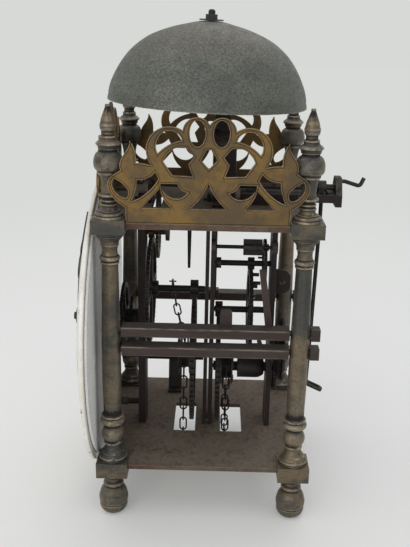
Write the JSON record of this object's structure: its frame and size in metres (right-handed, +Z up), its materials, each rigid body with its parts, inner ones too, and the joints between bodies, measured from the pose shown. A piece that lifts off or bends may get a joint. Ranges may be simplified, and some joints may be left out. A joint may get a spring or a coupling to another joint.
{
  "type": "lantern clock",
  "caption": "Open-frame weight-driven lantern clock with turned pillars, pierced frets, a domed bell, striking work and one hour hand.",
  "frame": {"origin": "on the floor, midway between the four feet", "axes": "+Z up, -Y towards the dial, +X to the right seen from the dial"},
  "size_m": [0.232, 0.2319, 0.381],
  "materials": {
    "cast_brass": "aged cast brass, dull, dirt in the turned grooves",
    "fret_brass": "pierced sheet brass, dull olive patina",
    "bell_metal": "grey-green oxidised bell metal, satin",
    "dial_enamel": "off-white fired enamel, chipped at the edge",
    "wheel_brass": "old brass, dull",
    "train_iron": "dark forged iron, dusty and lightly rusted",
    "frame_iron": "dark forged iron bar, filed, lightly rusted",
    "plate_iron": "rusty dusty iron sheet",
    "hand_steel": "blackened steel",
    "chain_iron": "dark iron wire"
  },
  "bodies": {
    "root": {"back_cock": "frame_iron", "bar_wedges": "frame_iron", "bell": "bell_metal", "bell_nut": "hand_steel", "bell_stand": "frame_iron", "bell_washer": "train_iron", "bottom_plate": "plate_iron", "dial": "dial_enamel", "dial_plate": "dial_enamel", "escape_cock": "train_iron", "finial_front_left": "cast_brass", "finial_front_right": "cast_brass", "finial_rear_left": "cast_brass", "finial_rear_right": "cast_brass", "foot_front_left": "cast_brass", "foot_front_right": "cast_brass", "foot_rear_left": "cast_brass", "foot_rear_right": "cast_brass", "fret_front": "fret_brass", "fret_left": "fret_brass", "fret_right": "fret_brass", "front_bar": "frame_iron", "front_cock": "train_iron", "going_chain": "chain_iron", "going_click_spring": "train_iron", "hammer_spring": "train_iron", "middle_front_bar": "frame_iron", "middle_rear_bar": "frame_iron", "pillar_front_left": "cast_brass", "pillar_front_right": "cast_brass", "pillar_rear_left": "cast_brass", "pillar_rear_right": "cast_brass", "plate_pin": "train_iron", "rear_bar": "frame_iron", "strike_chain": "chain_iron", "strike_click_spring": "train_iron", "suspension_hook": "hand_steel", "top_plate": "plate_iron"},
    "going_great": {"going_great_wheel": "train_iron", "motion_pinion": "train_iron"},
    "going_chain_wheel": {"going_sprocket": "train_iron"},
    "second": {"second_wheel": "train_iron"},
    "escape": {"escape_wheel": "wheel_brass"},
    "pallet": {"pallet_arbor": "frame_iron", "pallets": "train_iron", "crutch": "train_iron"},
    "hour_work": {"hour_wheel": "train_iron", "star_wheel": "train_iron"},
    "hand": {"hour_hand": "hand_steel"},
    "strike_great": {"strike_great_wheel": "train_iron", "count_pinion": "train_iron"},
    "strike_chain_wheel": {"strike_sprocket": "train_iron"},
    "pin": {"pin_wheel": "train_iron"},
    "warning": {"warning_wheel": "train_iron"},
    "fly": {"fly": "train_iron"},
    "count": {"count_wheel": "train_iron"},
    "hammer": {"hammer": "frame_iron"},
    "lifting": {"lifting_arbor": "frame_iron"},
    "detent": {"detent_arbor": "frame_iron"}
  },
  "joints": [
    {"name": "second_wheel_turn", "type": "hinge", "parent": "root", "child": "second", "pos_m": [0, 0, 0.163], "axis": [0, 1, 0], "continuous": true},
    {"name": "going_great_turn", "type": "hinge", "parent": "root", "child": "going_great", "pos_m": [0, 0, 0.104], "axis": [0, 1, 0], "continuous": true},
    {"name": "escape_turn", "type": "hinge", "parent": "root", "child": "escape", "pos_m": [0, 0, 0.2105], "axis": [0, 1, 0], "continuous": true},
    {"name": "hour_turn", "type": "hinge", "parent": "root", "child": "hour_work", "pos_m": [0, 0, 0.137], "axis": [0, 1, 0], "continuous": true},
    {"name": "pallet_swing", "type": "hinge", "parent": "root", "child": "pallet", "pos_m": [0, 0, 0.25], "axis": [0, 1, 0], "range_deg": [-3, 3]},
    {"name": "hand_set", "type": "hinge", "parent": "hour_work", "child": "hand", "pos_m": [0, 0, 0.137], "axis": [0, 1, 0], "continuous": true},
    {"name": "going_chain_wheel_turn", "type": "hinge", "parent": "going_great", "child": "going_chain_wheel", "pos_m": [0, 0, 0.104], "axis": [0, 1, 0], "continuous": true},
    {"name": "pin_wheel_turn", "type": "hinge", "parent": "root", "child": "pin", "pos_m": [0, 0, 0.146], "axis": [0, 1, 0], "continuous": true},
    {"name": "strike_great_turn", "type": "hinge", "parent": "root", "child": "strike_great", "pos_m": [0, 0, 0.095], "axis": [0, 1, 0], "continuous": true},
    {"name": "strike_chain_wheel_turn", "type": "hinge", "parent": "strike_great", "child": "strike_chain_wheel", "pos_m": [0, 0, 0.095], "axis": [0, 1, 0], "continuous": true},
    {"name": "warning_turn", "type": "hinge", "parent": "root", "child": "warning", "pos_m": [0, 0, 0.186], "axis": [0, 1, 0], "continuous": true},
    {"name": "fly_turn", "type": "hinge", "parent": "root", "child": "fly", "pos_m": [0.0135, 0, 0.2034], "axis": [0, 1, 0], "continuous": true},
    {"name": "count_turn", "type": "hinge", "parent": "root", "child": "count", "pos_m": [0.03, 0, 0.125], "axis": [0, 1, 0], "continuous": true},
    {"name": "hammer_lift", "type": "hinge", "parent": "root", "child": "hammer", "pos_m": [-0.07, 0, 0.134], "axis": [0, 1, 0], "range_deg": [0, 9]},
    {"name": "lifting_rise", "type": "hinge", "parent": "root", "child": "lifting", "pos_m": [0.07, 0, 0.139], "axis": [0, 1, 0], "range_deg": [0, 12]},
    {"name": "detent_rise", "type": "hinge", "parent": "root", "child": "detent", "pos_m": [0.07, 0, 0.154], "axis": [0, 1, 0], "range_deg": [0, 10]}
  ],
  "couplings": [
    {"joint": "going_great_turn", "follows": "second_wheel_turn", "ratio": -0.125},
    {"joint": "escape_turn", "follows": "second_wheel_turn", "ratio": -10},
    {"joint": "hour_turn", "follows": "second_wheel_turn", "ratio": 0.015625},
    {"joint": "strike_great_turn", "follows": "pin_wheel_turn", "ratio": -0.125},
    {"joint": "warning_turn", "follows": "pin_wheel_turn", "ratio": -8},
    {"joint": "fly_turn", "follows": "pin_wheel_turn", "ratio": 64},
    {"joint": "count_turn", "follows": "pin_wheel_turn", "ratio": 0.10256}
  ]
}
